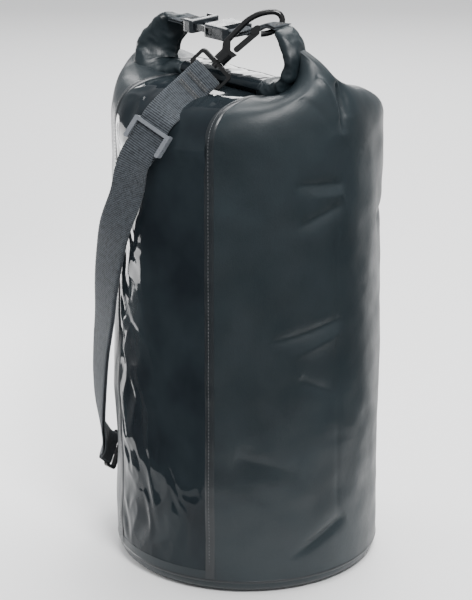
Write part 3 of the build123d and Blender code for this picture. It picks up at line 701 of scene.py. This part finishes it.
roll_middle = rolled("collar_roll_middle", [
    (-0.062, roll_y, roll_z, 0, 1, 0, 0.036, 0.0140),
    (-0.030, roll_y, roll_z + 0.0005, 0, 1, 0, 0.037, 0.0145),
    (0.000, roll_y, roll_z, 0, 1, 0, 0.037, 0.0140),
    (0.030, roll_y, roll_z + 0.0003, 0, 1, 0, 0.037, 0.0145),
    (0.060, roll_y, roll_z, 0, 1, 0, 0.036, 0.0140),
], film, 0.0005, 2.0, -1)
rolled("collar_roll_left", [
    (-0.046, roll_y, 0.4700, 0, 1, 0, 0.038, 0.0155),
    (-0.062, -0.023, 0.4680, 0, 1, 0, 0.038, 0.0175),
    (-0.077, -0.031, 0.4650, 0.2, 1, 0, 0.040, 0.0200),
    (-0.087, -0.035, 0.4700, 0.5, 0.85, 0, 0.042, 0.0210),
    (-0.090, -0.032, 0.4810, 0.65, 0.75, 0, 0.041, 0.0170),
    (-0.087, -0.028, 0.4920, 0.7, 0.7, 0, 0.038, 0.0140),
    (-0.081, -0.024, 0.5020, 0.7, 0.7, 0, 0.034, 0.0120),
    (-0.074, -0.021, 0.5110, 0.6, 0.8, 0, 0.030, 0.0095),
    (-0.066, roll_y, 0.5150, 0.4, 0.9, 0, 0.027, 0.0060),
], tarpaulin, 0.0030, 11.0)
rolled("collar_roll_right", [
    (0.044, roll_y, 0.4700, 0, 1, 0, 0.038, 0.0155),
    (0.058, roll_y, 0.4695, 0, 1, 0, 0.036, 0.0160),
    (0.071, roll_y, 0.4735, 0, 1, 0, 0.033, 0.0150),
    (0.080, roll_y, 0.4840, 0, 1, 0, 0.031, 0.0140),
    (0.083, roll_y, 0.4970, 0, 1, 0, 0.029, 0.0140),
    (0.080, roll_y, 0.5100, 0, 1, 0, 0.028, 0.0135),
    (0.073, roll_y, 0.5205, 0, 1, 0, 0.027, 0.0115),
    (0.063, roll_y, 0.5275, 0, 1, 0, 0.026, 0.0070),
], tarpaulin, 0.0026, 17.0)
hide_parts("collar_roll", "mouth_stiffener")

# ================= webbing =================
selvedge_bump = 0.00018


def band(name, stations, material, body="bag"):
    """Webbing along a line of stations: a point, the way its face looks, its width and, where it
    is bunched, how many times its own thickness it is."""
    rough_length = np.sum(np.linalg.norm(np.diff(np.array(stations)[:, :3], axis=0), axis=1))
    count = max(int(rough_length / mesh_step), 8)
    line = curve_points(stations, count)
    centre = line[:, :3]
    along = unit(np.gradient(centre, axis=0))
    face = unit(line[:, 3:6] - along * np.sum(line[:, 3:6] * along, axis=1, keepdims=True))
    across = np.cross(along, face)
    travelled = np.concatenate([[0], np.cumsum(np.linalg.norm(np.diff(centre, axis=0), axis=1))])
    steps = 14
    section = []
    for index in range(steps + 1):
        place = 2 * index / steps - 1
        section.append((place, 1 - 0.55 * abs(place) ** 10))
    section += [(place, -height) for place, height in reversed(section)]
    points = []
    uv = []
    for row in range(count):
        for place, height in section:
            x = place * line[row, 6] / 2
            edge = selvedge_bump * math.sin(travelled[row] * 2 * math.pi / rib_pitch) * abs(place) ** 12
            depth = strap_thickness * line[row, 7] if line.shape[1] > 7 else strap_thickness
            points.append(centre[row] + across[row] * (x + math.copysign(edge, x))
                          + face[row] * height * depth / 2)
            uv.append((x, travelled[row]))
    around = len(section)
    faces = grid_faces(count, around, True)
    faces.append(tuple(reversed(range(around))))
    faces.append(tuple((count - 1) * around + index for index in range(around)))
    return make_piece(name, points, faces, body, material, uv)


def vector(x, y, z):
    return np.array([x, y, z], dtype=float)


upper_bar = vector(0.014815, -0.067447, 0.483204)
hook_across = vector(0.603, 0.372, -0.706)
slider_centre = vector(0.0140, -0.1365, 0.4390)
slider_along = unit(vector(-0.285, -0.45, -0.846))
slider_face = unit(vector(0.409, -0.856, 0.317))
lower_bar = vector(-0.128764, -0.062487, 0.075207)
lower_axis = vector(-0.226, 0.787, -0.574)
lower_out = vector(-0.961, -0.276, 0.0)
straight_top = slider_centre - slider_along * 0.019
to_slider = straight_top - upper_bar
run_in = unit(to_slider - hook_across * np.dot(to_slider, hook_across))
run_face = np.cross(run_in, hook_across)
# The free run below the slider: a point and the azimuth that its face looks to.
lower_route = [
    ((-0.010, -0.142, 0.380), 311), ((-0.030, -0.139, 0.345), 296), ((-0.048, -0.131, 0.311), 281),
    ((-0.061, -0.125, 0.277), 270), ((-0.071, -0.119, 0.245), 262), ((-0.085, -0.112, 0.205), 254),
    ((-0.094, -0.107, 0.165), 249), ((-0.103, -0.099, 0.128), 240), ((-0.113, -0.086, 0.098), 225),
]


def near(origin, along_axis, face_axis, rows, wide=strap_width):
    """Stations round a bar: distances along and off it, and the turn of the webbing's face."""
    stations = []
    for along_by, off_by, turn in rows:
        point = origin + along_axis * along_by * 0.001 + face_axis * off_by * 0.001
        face = along_axis * math.sin(math.radians(turn)) + face_axis * math.cos(math.radians(turn))
        stations.append((*point, *face, wide))
    return stations


main_stations = near(upper_bar, run_in, run_face, [
    (28, -1.9, 180), (20, -1.9, 180), (13, -2.0, 180), (8, -2.4, 180), (4, -3.0, 184), (0, -3.3, 192),
    (-2.9, -2.6, 228), (-4.2, 0, 270), (-2.9, 2.6, 312), (0, 3.3, 348), (4, 2.9, 364), (8, 1.7, 366),
    (13, 0.5, 364), (20, 0.0, 360), (28, 0.0, 360),
])
middle_point = (upper_bar + run_in * 0.028) * 0.45 + straight_top * 0.55 - slider_along * 0.002
main_stations.append((*middle_point, *unit(run_face + slider_face), strap_width))
for reach in (-0.019, -0.006, 0.006, 0.019):
    main_stations.append((*(slider_centre + slider_along * reach), *slider_face, strap_width))
for point, azimuth in lower_route:
    face = (math.cos(math.radians(azimuth)), math.sin(math.radians(azimuth)), 0)
    main_stations.append((*point, *face, strap_width))
main_stations += near(lower_bar, lower_axis, lower_out, [
    (-14, 0.4, 0), (-8, 1.6, 2), (-4, 2.8, 4), (0, 3.3, 10), (2.9, 2.6, 48), (4.2, 0, 90), (2.9, -2.6, 132),
    (0, -3.3, 168),
])
strap_main = band("strap_main_webbing", main_stations, ribbed)
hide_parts("strap_main", "strap_tail")

return_stations = near(lower_bar, lower_axis, -lower_out, [(0, 3.3, -12), (-4, 3.0, -4), (-8, 2.8, 0),
                                                          (-14, 2.7, 0)])
for point, azimuth in reversed(lower_route):
    face = vector(math.cos(math.radians(azimuth)), math.sin(math.radians(azimuth)), 0)
    return_stations.append((*(vector(*point) - face * 0.0026), *-face, strap_width))
return_stations += near(slider_centre, slider_along, slider_face, [
    (19, -2.1, 180), (10, -1.95, 180), (5, -1.95, 180), (1.5, -2.05, 178), (-1.2, -2.25, 170),
    (-2.9, -3.2, 128), (-3.1, -4.6, 80), (-2.0, -5.9, 30), (0.4, -6.3, 4), (6, -6.1, 0), (14, -5.0, -4),
    (22, -4.4, -2),
])
strap_return = band("strap_return_webbing", return_stations, twilled, None)
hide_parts("strap_return", "slider_loop")
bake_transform(strap_return)

left_bar = -0.046
tab_origin = vector(left_bar, roll_y, buckle_z)
tab_left = band("tab_left_webbing", near(tab_origin, vector(-1, 0, 0), vector(0, 0, 1), [
    (26, 2.0, 0), (16, 1.4, 0), (9, 1.2, 0), (5, 2.0, 0), (2, 3.1, 0), (0, 3.3, -10), (-2.4, 2.3, -50),
    (-3.0, 0, -90), (-2.4, -2.3, -130), (0, -3.3, -170), (2, -3.1, -180), (5, -2.0, -180),
    (9, -0.9, -180), (16, -0.7, -180), (26, -0.4, -180),
], tab_width), ribbed)
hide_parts("tab_left")

right_bar = 0.008
tab_points = [
    (0.066, 0.5290, 0, 0.021, 1.0), (0.058, 0.5286, 0, 0.015, 1.3), (0.052, 0.5283, 0, 0.010, 1.8),
    (0.046, 0.5268, -20, 0.0072, 1.6), (0.040, 0.5243, -22, 0.0074, 1.6), (0.032, 0.5212, -22, 0.011, 1.7),
    (0.026, 0.5183, -20, 0.016, 1.3), (0.020, 0.5161, -12, 0.022, 1.0), (0.014, 0.5150, 0, 0.025, 1.0),
    (0.011, 0.5158, 0, 0.025, 1.0), (right_bar, 0.5163, -5, 0.025, 1.0), (0.0055, 0.5152, -50, 0.025, 1.0),
    (0.0050, 0.5130, -90, 0.025, 1.0), (0.0055, 0.5108, -130, 0.025, 1.0),
    (right_bar, 0.5097, -175, 0.025, 1.0),
    (0.011, 0.5103, -180, 0.025, 1.0), (0.014, 0.5124, -180, 0.025, 1.0), (0.020, 0.5140, -190, 0.022, 1.0),
    (0.026, 0.5158, -198, 0.016, 1.3), (0.032, 0.5185, -202, 0.011, 1.7), (0.040, 0.5223, -202, 0.0074, 1.6),
    (0.046, 0.5249, -200, 0.0072, 1.6), (0.052, 0.5256, -185, 0.010, 1.8), (0.058, 0.5264, -180, 0.015, 1.3),
    (0.066, 0.5270, -180, 0.021, 1.0),
]
tab_right = band("tab_right_webbing", [
    (x, roll_y, z, math.sin(math.radians(turn)), 0, math.cos(math.radians(turn)), width, thick)
    for x, z, turn, width, thick in tab_points], ribbed, None)
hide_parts("tab_right")
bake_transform(tab_right)


tack_pitch = 0.0011
tack_row = 0.0026
tack_length = 0.0024
tack_radius = 0.0004


def bar_tack(name, middle, along, across, face, length, rows):
    """Dense bar stitching: rows of short threads side by side across the webbing."""
    places = []
    directions = []
    count = int(length / tack_pitch)
    for row in range(rows):
        for index in range(count):
            offset = (index - (count - 1) / 2) * tack_pitch
            places.append(middle + across * offset + along * row * tack_row)
            directions.append(along + across * (0.25 if index % 2 else -0.25))
    return stitches(name, places, directions, [face] * len(places), tack_length, tack_radius, dark_thread)


upper_tacks = bar_tack("upper_bar_tacks", upper_bar + run_in * 0.0105 + run_face * 0.0019, run_in,
                       hook_across, run_face, 0.025, 2)
bar_tack("tail_bar_tacks", upper_bar + run_in * 0.0225 + run_face * 0.0009, run_in, hook_across, run_face,
         0.025, 2)
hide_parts("strap_bartacks")
left_tacks = bar_tack("tab_left_bar_tacks", vector(-0.0580, roll_y, 0.5152), vector(1, 0, 0), vector(0, 1, 0),
                      vector(0, 0, 1), 0.020, 2)
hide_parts("tab_bartacks_left")
right_tacks = bar_tack("tab_right_bar_tacks", vector(0.0600, roll_y, 0.5297), vector(1, 0, 0),
                       vector(0, 1, 0), vector(0, 0, 1), 0.014, 2)
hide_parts("tab_bartacks_right")

# ================= ring and its patch =================
ring_seat = vector(-0.130715, 0.014976, 0.024049)
ring_bar = unit(vector(-0.042, -0.367, -0.929))
seat_out = unit(vector(ring_seat[0], ring_seat[1], 0))
seat_arc = (math.atan2(ring_seat[1], ring_seat[0]) + math.pi / 2) * bag_radius
patch_half = 0.022
patch_top = 0.048
patch_skin = shell_panel("ring_patch_skin", seat_arc - patch_half, seat_arc + patch_half, base_round,
                         patch_top, tape, lift=0.0010, step=0.0010, edge=0.0009)
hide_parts("d_ring_patch")
seat_side = np.cross(ring_bar, seat_out)
ring_loop = band("ring_webbing_loop", near(ring_seat, seat_side, seat_out, [
    (16, -2.9, 0), (9, -2.7, 0), (4, -1.2, 30), (2.4, 1.5, 60), (0, 3.0, 0), (-2.4, 1.5, -60),
    (-3.0, -0.5, -90), (-1.0, -2.6, -160), (4, -3.4, -180), (10, -3.6, -180),
], 0.020), twilled)
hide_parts("d_ring_webbing")

# ================= moulded and metal parts =================
finishes = {
    "buckle_socket": dark_grey_plastic, "buckle_plug": dark_grey_plastic, "prong_front": dark_grey_plastic,
    "prong_back": dark_grey_plastic, "slider": grey_plastic, "d_ring": black_metal,
}
for prefix in ("upper_hook_", "lower_hook_"):
    for part in ("eye", "body", "gate"):
        finishes[prefix + part] = black_plastic
    finishes[prefix + "pin"] = black_metal
for node_name, paint in finishes.items():
    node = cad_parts[node_name]
    for slot_there in node.material_slots:
        slot_there.link = "OBJECT"
        slot_there.material = paint
    if node_name != "d_ring":
        edges = node.modifiers.new("soft_edges", "BEVEL")
        edges.width = 0.0005
        edges.segments = 3
        edges.limit_method = "ANGLE"
        edges.angle_limit = math.radians(35)
        edges.harden_normals = False

# ================= studio =================
floor_mesh = bpy.data.meshes.new("floor")
floor_mesh.from_pydata([(-6, -6, 0), (6, -6, 0), (6, 6, 0), (-6, 6, 0)], [], [(0, 1, 2, 3)])
floor = bpy.data.objects.new("floor", floor_mesh)
bpy.context.scene.collection.objects.link(floor)
floor_paint = Paint("pale_floor", (0.86, 0.86, 0.86), 0.6, Specular_IOR_Level=0.2)
floor_mesh.materials.append(floor_paint.material)

# A black card on the floor, in an arc round the front and right of the object. Only glossy rays see it.
card_near, card_far = 0.34, 3.0            # from the bag's axis
card_middle = -44                          # azimuth, in degrees
card_steps = 25
flag_points = []
for step in range(card_steps):
    turn = math.radians(card_middle - 120 + 10 * step)
    for reach in (card_near, card_far):
        flag_points.append((reach * math.cos(turn), reach * math.sin(turn), 0.002))
flag_mesh = bpy.data.meshes.new("black_card")
flag_mesh.from_pydata(flag_points, [], grid_faces(card_steps, 2))
flag = bpy.data.objects.new("black_card", flag_mesh)
bpy.context.scene.collection.objects.link(flag)
flag_mesh.materials.append(Paint("card_black", (0.01, 0.01, 0.01), 0.9).material)
flag.visible_camera = False
flag.visible_diffuse = False
flag.visible_shadow = False

world = bpy.data.worlds.new("studio")
bpy.context.scene.world = world
world.use_nodes = True
world.node_tree.nodes["Background"].inputs["Color"].default_value = (0.97, 0.98, 1.0, 1)
world.node_tree.nodes["Background"].inputs["Strength"].default_value = 0.6


def softbox(name, place, aim, size, power):
    light = bpy.data.lights.new(name, "AREA")
    light.shape = "RECTANGLE"
    light.size, light.size_y = size
    light.energy = power
    lamp = bpy.data.objects.new(name, light)
    bpy.context.scene.collection.objects.link(lamp)
    lamp.location = place
    lamp.rotation_euler = (Vector(aim) - Vector(place)).to_track_quat("-Z", "Y").to_euler()


softbox("key_box", (1.3, -0.6, 1.8), (0, 0, 0.30), (0.6, 0.6), 52)
softbox("top_box", (-0.2, 0.7, 2.0), (0, 0.2, 0.20), (1.6, 1.6), 70)
softbox("left_box", (-0.78, -0.26, 0.19), (0, -0.1, 0.17), (0.62, 0.36), 8)
softbox("back_box", (-1.5, 1.45, 0.90), (0, 0, 0.45), (1.3, 0.5), 15)

heading = math.radians(46)
camera_away = 2.255
camera_height = 1.051
view_angle = 13.58                         # vertical, in degrees
look_down = 19.6
look_left = 0.27
camera = bpy.data.cameras.new("camera")
camera.sensor_fit = "VERTICAL"
camera.sensor_height = 24
camera.lens = camera.sensor_height / 2 / math.tan(math.radians(view_angle) / 2)
viewer = bpy.data.objects.new("camera", camera)
bpy.context.scene.collection.objects.link(viewer)
viewer.location = (camera_away * math.sin(heading), -camera_away * math.cos(heading), camera_height)
viewer.rotation_euler = (math.radians(90 - look_down), 0, heading + math.radians(look_left))
bpy.context.scene.camera = viewer
